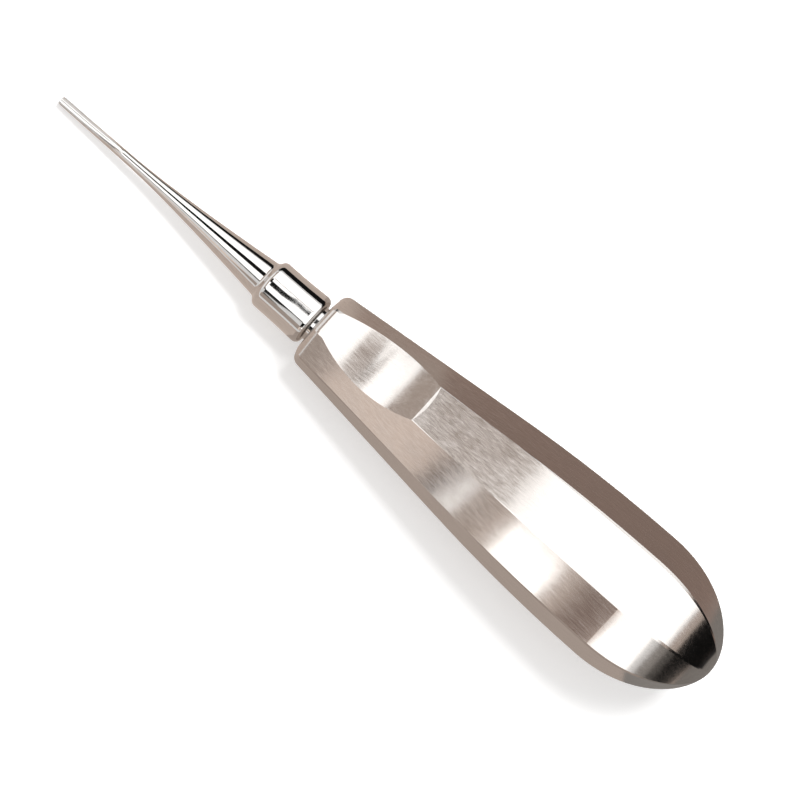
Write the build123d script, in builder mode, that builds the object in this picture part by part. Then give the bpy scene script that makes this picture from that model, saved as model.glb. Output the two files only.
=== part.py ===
from build123d import *
from math import asin, atan2, cos, hypot, radians, sin, sqrt, tan
import os

# A straight dental root elevator: a forged working end, with a gouge blade, a slender shank and a collar,
# held by its tang in a hollow eight-sided handle. Sizes are in millimetres. It lies as it comes to rest on
# a table, thumb rest up: X runs along it towards the end of the handle, and the table is at Z = 0.

# Blade, a gouge ground into the front of the round shank
blade_length = 14.6
tip_radius = 0.8
tip_rounding = 0.55
blade_root_radius = 0.92
trough_radius = 0.8
trough_floor_drop = 0.42

# Shank, slender behind the blade and swelling towards the collar
shank_length = 33.2
shank_waist_length = 11.1
shank_waist_radius = 0.95
shank_base_radius = 3.6
shank_root_fillet = 0.8

# Collar, with a sloping shoulder, a little wider at its rear and slightly barrelled
shoulder_length = 0.9
collar_length = 10.5
collar_front_radius = 4.75
collar_rear_radius = 5.0
collar_crown = 0.1
collar_front_rounding = 1.2
collar_rear_rounding = 1.2

# Seat that meets the handle's front, and tang inside the handle
seat_length = 0.7
seat_radius = 3.4
tang_length = 21.0
tang_radius = 3.0
tang_chamfer = 0.5
tang_clearance = 0.05

# Handle, whose half sizes run from its axis to its sides; the slants are the sides turned by 45 degrees
handle_length = 90.1
front_flat_half = 6.95
belly_flat_half = 12.25
front_slant_half = 6.7
belly_slant_half = 12.45
belly_distance = 70.6
swell_radius = 315.0
end_shoulder_share = 0.61
end_nose_share = 0.455
front_rounding = 1.8
crease_ease = 0.12
handle_wall = 1.2
plug_length = 25.0

# Thumb rest, a shallow scoop in the top of the handle, ground by a wheel with a slightly crowned face. A
# longer and shallower pass of the wheel eases its front and rear rims.
thumb_rest_setback = 1.7
thumb_rest_length = 22.0
thumb_rest_depth = 2.0
thumb_wheel_width = 26.0
thumb_wheel_crown = 1.2
thumb_ease_run = 0.6
thumb_ease_share = 0.535

# Places along the axis, from the tip of the blade
shank_end = blade_length + shank_length
collar_front = shank_end + shoulder_length
collar_rear = collar_front + collar_length
handle_front = collar_rear + seat_length
handle_end = handle_front + handle_length
belly = handle_front + belly_distance
tang_end = handle_front + tang_length

# Turns about the axis, in degrees, between the sides of the handle
eighth_turn = 45
quarter_turn = 2 * eighth_turn
half_turn = 2 * quarter_turn


def rising_tangent(point, centre, radius):
    """Angle at which a line rises from a point to touch the top of a circle."""
    run, rise = centre[0] - point[0], centre[1] - point[1]
    return atan2(rise, run) + asin(radius / hypot(run, rise))


# The instrument lies on the bottom side of its handle, or on the belly and the tip where the tip is lower
swell_centre = (belly, belly_flat_half - swell_radius)
taper_angle = rising_tangent((handle_front, front_flat_half), swell_centre, swell_radius)
tip_angle = rising_tangent((tip_rounding, tip_radius), swell_centre, swell_radius)
rest_dip = min(taper_angle, tip_angle)
along = (cos(rest_dip), 0, sin(rest_dip))
tip_height = swell_radius - belly * sin(rest_dip) + swell_centre[1] * cos(rest_dip)

# The side view: its x runs along the instrument's axis from the tip, its y is up, and the tip is its origin
side_view = Plane(origin=(-handle_end * cos(rest_dip) / 2, 0, tip_height), x_dir=along, z_dir=(0, -1, 0))
long_axis = Axis(side_view.origin, along)


def across(distance):
    """Plane square to the axis, at a distance from the tip, with its y up."""
    return Plane(origin=side_view.from_local_coords((distance, 0, 0)), x_dir=(0, 1, 0), z_dir=along)


def lengthwise(turn):
    """Plane through the axis like the side view, turned about the axis by an angle."""
    return Plane(origin=side_view.origin, x_dir=along, z_dir=side_view.z_dir.rotate(long_axis, turn))


def corner(sketch, x, y):
    """The corner of a sketch that lies nearest to a point."""
    return sketch.vertices().sort_by_distance((x, y))[0]


# Working end: turned from the tip to the tang, then ground out along the blade
with BuildPart() as working_end:
    with BuildSketch(side_view) as profile:
        with BuildLine():
            EllipticalCenterArc((tip_rounding, 0), tip_rounding, tip_radius, start_angle=90, arc_size=90)
            Line((tip_rounding, tip_radius), (blade_length, blade_root_radius))
            Bezier(
                (blade_length, blade_root_radius),
                (blade_length + shank_waist_length, shank_waist_radius),
                (shank_end, shank_base_radius),
            )
            Line((shank_end, shank_base_radius), (collar_front, collar_front_radius))
            SagittaArc((collar_front, collar_front_radius), (collar_rear, collar_rear_radius), -collar_crown)
            Polyline(
                (collar_rear, collar_rear_radius),
                (collar_rear, seat_radius),
                (handle_front, seat_radius),
                (handle_front, tang_radius),
                (tang_end, tang_radius),
                (tang_end, 0),
                (0, 0),
            )
        make_face()
        fillet(corner(profile, shank_end, shank_base_radius), shank_root_fillet)
        fillet(corner(profile, collar_front, collar_front_radius), collar_front_rounding)
        fillet(corner(profile, collar_rear, collar_rear_radius), collar_rear_rounding)
        chamfer(corner(profile, tang_end, tang_radius), tang_chamfer)
    revolve(axis=long_axis)

    # The grinding wheel's path rises from the trough's floor at the tip to the top of the shank
    wheel_rise = blade_root_radius + trough_floor_drop
    wheel_radius = (blade_length**2 + wheel_rise**2) / (2 * wheel_rise)
    wheel_centre = side_view.from_local_coords((0, wheel_radius - trough_floor_drop, 0))
    with BuildSketch(across(0)):
        with Locations((0, trough_radius - trough_floor_drop)):
            Circle(trough_radius)
    revolve(axis=Axis(wheel_centre, (0, 1, 0)), mode=Mode.SUBTRACT)


def pear_section(turn, front_half, belly_half, end):
    """Long section of the handle's pear shape, cut where the axis is turned by an angle."""
    centre = (belly, belly_half - swell_radius)
    taper = rising_tangent((handle_front, front_half), centre, swell_radius)
    swell_start = (centre[0] - swell_radius * sin(taper), centre[1] + swell_radius * cos(taper))
    shoulder = (belly + end_shoulder_share * (end - belly), belly_half)
    with BuildSketch(lengthwise(turn)) as section:
        with BuildLine():
            Line((handle_front, front_half), swell_start)
            RadiusArc(swell_start, (belly, belly_half), swell_radius)
            Bezier((belly, belly_half), shoulder, (end, end_nose_share * belly_half), (end, 0))
            mirror(about=Plane.XZ)
            Line((handle_front, -front_half), (handle_front, front_half))
        make_face()
        fillet(section.vertices().group_by(Axis.X)[0], front_rounding)
    return section.sketch


def eased_half(flat_half, slant_half):
    """Distance from the axis to the narrow side that eases each corner between a flat and a slant."""
    half_step = radians(eighth_turn / 2)
    flat_half_width = sqrt(2) * slant_half - flat_half
    return flat_half * cos(half_step) + flat_half_width * sin(half_step) - crease_ease


def eight_sided_pear(wall):
    """The handle's outer form, or the hollow inside a wall: each pair of opposite sides is one cut."""
    flats = (front_flat_half - wall, belly_flat_half - wall)
    slants = (front_slant_half - wall, belly_slant_half - wall)
    eases = (eased_half(flats[0], slants[0]), eased_half(flats[1], slants[1]))
    with BuildPart() as pear:
        for halves, first_turn, step in (
            (flats, 0, quarter_turn),
            (slants, eighth_turn, quarter_turn),
            (eases, eighth_turn / 2, eighth_turn),
        ):
            for count in range(half_turn // step):
                turn = first_turn + step * count
                extrude(
                    pear_section(turn, *halves, handle_end - wall),
                    amount=2 * belly_flat_half,
                    both=True,
                    mode=Mode.INTERSECT if turn else Mode.ADD,
                )
    return pear.part


# Hollow of the handle, behind the plug that holds the tang
with BuildPart() as hollow:
    add(eight_sided_pear(handle_wall))
    split(bisect_by=across(handle_front + plug_length), keep=Keep.TOP)

def thumb_wheel(length, depth):
    """Wheel that grinds a scoop of a length and a depth into the top of the handle, for the thumb."""
    radius = (length**2 / 4 + depth**2) / (2 * depth)
    rise = radius - depth
    middle = thumb_rest_setback + thumb_rest_length / 2
    centre = side_view.from_local_coords(
        (
            handle_front + middle - rise * sin(taper_angle),
            front_flat_half + middle * tan(taper_angle) + rise * cos(taper_angle),
            0,
        )
    )
    side = thumb_wheel_width / 2
    edge = radius - thumb_wheel_crown
    with BuildPart() as wheel:
        with BuildSketch(Plane(origin=centre, x_dir=(0, 1, 0), z_dir=along)):
            with BuildLine():
                SagittaArc((-side, edge), (side, edge), thumb_wheel_crown)
                Polyline((-side, edge), (-side, 0), (side, 0), (side, edge))
            make_face()
        revolve(axis=Axis(centre, (0, 1, 0)))
    return wheel.part


# Handle: the pear shape, hollowed, scooped for the thumb and bored for the tang
with BuildPart() as handle:
    add(eight_sided_pear(0))
    add(hollow.part, mode=Mode.SUBTRACT)
    add(thumb_wheel(thumb_rest_length, thumb_rest_depth), mode=Mode.SUBTRACT)
    add(
        thumb_wheel(thumb_rest_length + thumb_ease_run, thumb_rest_depth * thumb_ease_share),
        mode=Mode.SUBTRACT,
    )
    with BuildSketch(across(handle_front)):
        Circle(tang_radius + tang_clearance)
    extrude(amount=plug_length, mode=Mode.SUBTRACT)

working_end.part.label = "working_end"
handle.part.label = "handle"

os.makedirs("parts", exist_ok=True)
export_step(working_end.part, "parts/working_end.step")
export_step(handle.part, "parts/handle.step")
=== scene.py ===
import bpy
from math import cos, pi, radians, sin
from mathutils import Matrix, Vector

# A dental elevator of steel on a white table. Lengths are in metres: X runs along the instrument towards the
# end of its handle, the camera is on the -Y side and the table is at Z = 0.

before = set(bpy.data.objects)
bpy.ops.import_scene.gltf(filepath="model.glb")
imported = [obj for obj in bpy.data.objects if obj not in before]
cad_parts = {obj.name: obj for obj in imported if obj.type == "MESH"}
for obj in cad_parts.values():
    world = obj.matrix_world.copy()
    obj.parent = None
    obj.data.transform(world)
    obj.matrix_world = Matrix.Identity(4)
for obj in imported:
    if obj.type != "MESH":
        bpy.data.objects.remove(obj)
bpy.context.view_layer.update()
scene = bpy.context.scene
scene.view_settings.view_transform = "Standard"

# Camera: about 0.58 m over the table, a little to the -Y side, and rolled so that the handle points down
# and to the right of the picture. Its angles are in degrees, its lens and sensor in millimetres.
CAMERA_PLACE = Vector((-0.02259, -0.14284, 0.57595))
CAMERA_AZIMUTH, CAMERA_ELEVATION, CAMERA_ROLL = -10.5787, 75.6581, 52.9299
CAMERA_LENS = 152.478
CAMERA_SENSOR = 36.0
CAMERA_NEAREST, CAMERA_FARTHEST = 0.01, 20.0

# Slope of the instrument's axis above the table, which its brushed grain follows
AXIS_SLOPE = radians(4.3)

# Steel: the scales of its wear and waves per metre, how far its tint strays, and a noise's usual values
CLOUD_SCALE = 180.0
WAVE_SCALE = 60.0
DARKEST_TINT, LIGHTEST_TINT = 0.80, 1.12
NOISE_LOW, NOISE_HIGH = 0.3, 0.7

# Table, a little under the instrument so that the two don't share a plane. Its glow and the world's seen
# level are for what the camera, a reflection or glass shows.
FLOOR_HALF = 6.0
FLOOR_DROP = 0.0001
FLOOR_SHADE = (0.90, 0.895, 0.89)
FLOOR_GLOW = 0.37
MOTTLE_SCALE = 6.0
MOTTLE_TINT = 0.99
WORLD_LIGHT, WORLD_SEEN = 0.58, 1.0

# Lamp, on the +Y side, which throws the soft shadow
KEY_PLACE = Vector((0.05, 0.32, 0.80))
KEY_LENGTH, KEY_WIDTH = 0.35, 0.30
KEY_POWER = 6.0

# Colours of the world, the table's glow and the cards
WHITE = (1.0, 1.0, 1.0)
CREAM = (1.0, 0.93, 0.87)
BEIGE = (1.0, 0.84, 0.74)
BROWN = (1.0, 0.73, 0.62)

# Cards that lie level, painted reflections that only the steel shows: name, x range, y range, height, colour,
# strength
LEVEL_CARDS = (
    # High over the table
    ("ceiling", (-0.52, 0.60), (-0.60, 1.05), 0.620, WHITE, 2.0),
    ("ceiling_front", (-1.60, -0.52), (-0.80, 1.05), 0.620, BEIGE, 0.55),
    ("ceiling_dark_far", (-0.20, 0.60), (-0.99, -0.60), 0.620, WHITE, 0.01),
    ("ceiling_dark_front", (-0.52, -0.20), (-0.66, -0.60), 0.620, WHITE, 0.05),
    # Over the blade and the collar, under the camera
    ("bar", (-0.068, -0.013), (0.026, 0.070), 0.182, BEIGE, 0.50),
    ("line", (-0.170, -0.080), (-0.024, 0.022), 0.180, WHITE, 0.01),
    ("collar_dark", (-0.075, -0.035), (-0.256, -0.165), 0.180, WHITE, 0.01),
    ("line_near", (-0.200, -0.080), (-0.180, -0.150), 0.180, WHITE, 0.02),
    # Just over the table, seen only in the steel: beige cards that show the table darker and warmer, and
    # brown cards on the handle's +Y side that paint its shadow there
    ("table", (-0.018, 0.40), (-0.30, 0.30), 0.0003, BEIGE, 0.50),
    ("table_front", (-0.40, -0.018), (-0.30, 0.30), 0.0003, BEIGE, 0.70),
    ("table_end", (0.068, 0.20), (-0.030, 0.050), 0.0005, CREAM, 0.28),
    ("table_end_far", (0.140, 0.40), (-0.150, 0.050), 0.0006, WHITE, 0.02),
    ("table_far", (-0.30, 0.50), (0.20, 1.00), 0.0004, WHITE, 0.02),
    ("table_shade", (0.000, 0.30), (0.050, 0.20), 0.0005, BROWN, 0.33),
    ("table_half_shade", (-0.018, 0.30), (0.040, 0.050), 0.0005, BROWN, 0.45),
)

# Cards that stand along the instrument, painted reflections that only the steel shows: name, y, x range,
# height range, colour, strength
ALONG_CARDS = (
    # Far off, to the picture's upper right (+Y) and lower left (-Y)
    ("right_dark", 1.00, (-1.0, 1.0), (0.0, 0.43), WHITE, 0.01),
    ("left_dark_high", -1.00, (-0.20, 0.6), (0.62, 1.00), WHITE, 0.01),
    ("left_grey", -1.00, (-0.20, 0.6), (0.49, 0.62), CREAM, 0.12),
    ("left_dark_mid", -1.00, (-0.20, 0.6), (0.40, 0.49), WHITE, 0.02),
    ("left_light", -1.00, (-0.60, 0.6), (0.13, 0.40), BEIGE, 1.02),
    ("left_line", -0.99, (-0.20, -0.10), (0.16, 0.20), WHITE, 0.05),
    # Beside the handle, on its -Y side: painted highlights and dark patches on the handle's facet
    ("near_front", -0.080, (-0.0600, -0.0290), (0.018, 0.045), BEIGE, 0.50),
    ("near_dark_a", -0.080, (-0.0020, 0.0030), (0.020, 0.050), BROWN, 0.12),
    ("near_bright_a", -0.080, (0.0035, 0.0075), (0.024, 0.044), WHITE, 1.8),
    ("near_mid", -0.080, (0.0075, 0.0160), (0.018, 0.052), BEIGE, 0.55),
    ("near_bright_b", -0.079, (0.0215, 0.0385), (0.0295, 0.0415), WHITE, 3.0),
    ("near_around_b", -0.080, (0.0160, 0.0450), (0.018, 0.052), BEIGE, 0.70),
    ("near_dark_b", -0.080, (0.0450, 0.0560), (0.018, 0.052), BROWN, 0.30),
    ("near_bright_end", -0.080, (0.0600, 0.1040), (0.018, 0.050), WHITE, 2.2),
)

# Cards that stand across the instrument, past its ends, painted reflections that only the steel shows: name,
# x, y range, height range, colour, strength
ACROSS_CARDS = (
    ("end_dark", 0.200, (-0.120, 0.30), (0.006, 0.122), WHITE, 0.005),
    ("end_dark_edge", 0.200, (-0.150, -0.120), (0.004, 0.122), CREAM, 0.10),
    ("end_grey_edge", 0.200, (-0.200, -0.150), (0.004, 0.122), CREAM, 0.35),
    ("end_cream", 0.200, (-0.200, 0.30), (0.122, 0.165), BEIGE, 0.60),
    ("front_light", -0.80, (-0.5, 0.5), (0.0, 0.45), WHITE, 1.3),
)

# Oval cards over the collar, a painted reflection that the collar shows as a dark streak: name, centre,
# radii, height, colour, strength
OVAL_CARDS = (
    ("ring_dark", (-0.0535, -0.012), (0.0095, 0.070), 0.178, WHITE, 0.01),
    ("ring_light", (-0.0535, 0.020), (0.0078, 0.026), 0.177, WHITE, 2.0),
)
OVAL_CORNERS = 48


def rolled_camera():
    """Camera at its place, looking down along its azimuth and elevation, turned about its own axis."""
    data = bpy.data.cameras.new("camera")
    camera = bpy.data.objects.new("camera", data)
    scene.collection.objects.link(camera)
    azimuth = Matrix.Rotation(radians(CAMERA_AZIMUTH), 4, "Z")
    tilt = Matrix.Rotation(radians(90 - CAMERA_ELEVATION), 4, "X")
    roll = Matrix.Rotation(radians(CAMERA_ROLL), 4, "Z")
    camera.matrix_world = Matrix.Translation(CAMERA_PLACE) @ azimuth @ tilt @ roll
    data.lens = CAMERA_LENS
    data.sensor_width = CAMERA_SENSOR
    data.clip_start, data.clip_end = CAMERA_NEAREST, CAMERA_FARTHEST
    scene.camera = camera


def new_material(name):
    """A new material that has only its output: the material, its nodes, its links and the output."""
    material = bpy.data.materials.new(name)
    material.use_nodes = True
    nodes = material.node_tree.nodes
    nodes.clear()
    output = nodes.new("ShaderNodeOutputMaterial")
    return material, nodes, material.node_tree.links, output


def node(nodes, kind, inputs=None, **settings):
    """A new node with its settings, and its sockets' values by name or number."""
    made = nodes.new(kind)
    for key, value in settings.items():
        setattr(made, key, value)
    for key, value in (inputs or {}).items():
        made.inputs[key].default_value = value
    return made


def noise(nodes, links, place, scale, detail, roughness=0.5):
    """A noise over places, usually from NOISE_LOW to NOISE_HIGH."""
    made = node(nodes, "ShaderNodeTexNoise", {"Scale": scale, "Detail": detail, "Roughness": roughness})
    links.new(place, made.inputs["Vector"])
    return made.outputs["Fac"]


def spread_out(nodes, links, value, low, high):
    """A noise with its usual values drawn out from low to high."""
    ends = {"From Min": NOISE_LOW, "From Max": NOISE_HIGH, "To Min": low, "To Max": high}
    made = node(nodes, "ShaderNodeMapRange", ends)
    links.new(value, made.inputs["Value"])
    return made.outputs[0]


def added(nodes, links, first, second, clamped=False):
    """The sum of two values."""
    made = node(nodes, "ShaderNodeMath", operation="ADD", use_clamp=clamped)
    links.new(first, made.inputs[0])
    links.new(second, made.inputs[1])
    return made.outputs[0]


def tinted(nodes, links, factor, colour, darkest, lightest):
    """A colour that a noise moves between two shares of itself."""
    made = node(nodes, "ShaderNodeMix", data_type="RGBA")
    made.inputs["A"].default_value = (*(darkest * part for part in colour), 1.0)
    made.inputs["B"].default_value = (*(lightest * part for part in colour), 1.0)
    links.new(factor, made.inputs["Factor"])
    return made.outputs["Result"]


def bumped(nodes, links, height, distance):
    """A bump of a height, whose Normal socket can take another bump under it."""
    made = node(nodes, "ShaderNodeBump", {"Strength": 1.0, "Distance": distance})
    links.new(height, made.inputs["Height"])
    return made


def steel(name, colour, roughness, spread, grain, grain_height, wave_height, anisotropy):
    """Stainless steel: brushed along the instrument, slightly wavy, with cloudy wear in its roughness."""
    material, nodes, links, output = new_material(name)
    place = node(nodes, "ShaderNodeTexCoord").outputs["Object"]
    shader = node(nodes, "ShaderNodeBsdfPrincipled", {"Metallic": 1.0, "Anisotropic": anisotropy})
    links.new(shader.outputs[0], output.inputs["Surface"])

    # The polish scatters light more across its grain than along it
    surface = node(nodes, "ShaderNodeNewGeometry")
    around = node(nodes, "ShaderNodeVectorMath", {1: (1.0, 0.0, 0.0)}, operation="CROSS_PRODUCT")
    links.new(surface.outputs["Normal"], around.inputs[0])
    links.new(around.outputs[0], shader.inputs["Tangent"])

    # Brushed grain: a noise drawn out along the axis, which also moves the tint
    stretch = node(nodes, "ShaderNodeMapping", {"Rotation": (0.0, AXIS_SLOPE, 0.0), "Scale": grain})
    links.new(place, stretch.inputs["Vector"])
    fine = noise(nodes, links, stretch.outputs[0], scale=1.0, detail=3.0, roughness=0.6)
    tint = tinted(nodes, links, fine, colour, DARKEST_TINT, LIGHTEST_TINT)
    links.new(tint, shader.inputs["Base Color"])

    # Roughness: cloudy wear in patches a few millimetres wide, and the grain
    cloud = noise(nodes, links, place, CLOUD_SCALE, detail=4.0, roughness=0.6)
    wear = spread_out(nodes, links, cloud, roughness - spread, roughness + spread)
    streak = spread_out(nodes, links, fine, -spread, spread)
    links.new(added(nodes, links, wear, streak), shader.inputs["Roughness"])

    # Bump: the grain, on a slow waviness from hand polishing
    swell = bumped(nodes, links, noise(nodes, links, place, WAVE_SCALE, detail=1.0), wave_height)
    brush = bumped(nodes, links, fine, grain_height)
    links.new(swell.outputs[0], brush.inputs["Normal"])
    links.new(brush.outputs[0], shader.inputs["Normal"])
    return material


def seen_level(nodes, links, unseen, seen):
    """A strength with one value where the camera, a reflection or glass shows it, and another elsewhere."""
    path = node(nodes, "ShaderNodeLightPath")
    shown = added(nodes, links, path.outputs["Is Camera Ray"], path.outputs["Is Glossy Ray"])
    shown = added(nodes, links, shown, path.outputs["Is Transmission Ray"], clamped=True)
    level = node(nodes, "ShaderNodeMapRange", {"To Min": unseen, "To Max": seen})
    links.new(shown, level.inputs["Value"])
    return level.outputs[0]


def floor_material(name):
    """Matt white table with a faint mottling and a glow where it is seen, clear from below."""
    material, nodes, links, output = new_material(name)
    place = node(nodes, "ShaderNodeTexCoord").outputs["Object"]
    mottle = noise(nodes, links, place, MOTTLE_SCALE, detail=3.0)
    matt = node(nodes, "ShaderNodeBsdfDiffuse")
    links.new(tinted(nodes, links, mottle, FLOOR_SHADE, MOTTLE_TINT, 1.0), matt.inputs["Color"])
    glow = node(nodes, "ShaderNodeEmission", {"Color": (*WHITE, 1.0)})
    links.new(seen_level(nodes, links, 0.0, FLOOR_GLOW), glow.inputs["Strength"])
    both = node(nodes, "ShaderNodeAddShader")
    links.new(matt.outputs[0], both.inputs[0])
    links.new(glow.outputs[0], both.inputs[1])
    side = node(nodes, "ShaderNodeNewGeometry")
    clear = node(nodes, "ShaderNodeBsdfTransparent")
    sheet = node(nodes, "ShaderNodeMixShader")
    links.new(side.outputs["Backfacing"], sheet.inputs[0])
    links.new(both.outputs[0], sheet.inputs[1])
    links.new(clear.outputs[0], sheet.inputs[2])
    links.new(sheet.outputs[0], output.inputs["Surface"])
    return material


def flat_mesh(name, corners, material):
    """One flat face of the stage, from its corners in turn."""
    mesh = bpy.data.meshes.new(name)
    mesh.from_pydata(corners, [], [tuple(range(len(corners)))])
    thing = bpy.data.objects.new(name, mesh)
    scene.collection.objects.link(thing)
    mesh.materials.append(material)
    return thing


def card(name, corners, colour, strength):
    """A glowing card that only shows in the steel: a painted reflection, which lights nothing and casts no
    shadow.
    """
    material, nodes, links, output = new_material(name)
    glow = node(nodes, "ShaderNodeEmission", {"Color": (*colour, 1.0), "Strength": strength})
    links.new(glow.outputs[0], output.inputs["Surface"])
    thing = flat_mesh(name, corners, material)
    thing.visible_camera = False
    thing.visible_diffuse = False
    thing.visible_shadow = False


def white_world():
    """A world that is fully white where it is seen, and dimmer as a light."""
    world = bpy.data.worlds.new("studio")
    scene.world = world
    world.use_nodes = True
    nodes, links = world.node_tree.nodes, world.node_tree.links
    sky = nodes["Background"]
    sky.inputs["Color"].default_value = (*WHITE, 1.0)
    links.new(seen_level(nodes, links, WORLD_LIGHT, WORLD_SEEN), sky.inputs["Strength"])


def key_lamp():
    """The lamp, aimed at the middle of the table and left out of reflections."""
    lamp = bpy.data.lights.new("key", "AREA")
    lamp.shape = "RECTANGLE"
    lamp.size, lamp.size_y = KEY_LENGTH, KEY_WIDTH
    lamp.energy = KEY_POWER
    key = bpy.data.objects.new("key", lamp)
    scene.collection.objects.link(key)
    key.location = KEY_PLACE
    key.rotation_euler = (-KEY_PLACE).to_track_quat("-Z", "Y").to_euler()
    key.visible_glossy = False


rolled_camera()

# Steels of the two pieces
satin = steel(
    "satin_steel",
    colour=(0.62, 0.59, 0.565),
    roughness=0.17,
    spread=0.03,
    grain=(200.0, 3000.0, 3000.0),
    grain_height=0.0000020,
    wave_height=0.00003,
    anisotropy=0.35,
)
polished = steel(
    "polished_steel",
    colour=(0.64, 0.625, 0.61),
    roughness=0.045,
    spread=0.015,
    grain=(400.0, 5000.0, 5000.0),
    grain_height=0.0000004,
    wave_height=0.000004,
    anisotropy=0.0,
)
for name, material in (("handle", satin), ("working_end", polished)):
    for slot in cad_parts[name].material_slots:
        slot.material = material

# Table
floor_signs = ((-1, -1), (1, -1), (1, 1), (-1, 1))
floor_corners = [(x * FLOOR_HALF, y * FLOOR_HALF, -FLOOR_DROP) for x, y in floor_signs]
flat_mesh("floor", floor_corners, floor_material("floor_white"))

# Cards: painted reflections, seen only in the steel
for name, (x0, x1), (y0, y1), z, colour, strength in LEVEL_CARDS:
    card(name, [(x0, y0, z), (x1, y0, z), (x1, y1, z), (x0, y1, z)], colour, strength)
for name, y, (x0, x1), (z0, z1), colour, strength in ALONG_CARDS:
    card(name, [(x0, y, z0), (x1, y, z0), (x1, y, z1), (x0, y, z1)], colour, strength)
for name, x, (y0, y1), (z0, z1), colour, strength in ACROSS_CARDS:
    card(name, [(x, y0, z0), (x, y1, z0), (x, y1, z1), (x, y0, z1)], colour, strength)
oval_turns = [2 * pi * count / OVAL_CORNERS for count in range(OVAL_CORNERS)]
for name, (x, y), (x_radius, y_radius), z, colour, strength in OVAL_CARDS:
    corners = [(x + x_radius * cos(turn), y + y_radius * sin(turn), z) for turn in oval_turns]
    card(name, corners, colour, strength)

# World and lamp
white_world()
key_lamp()
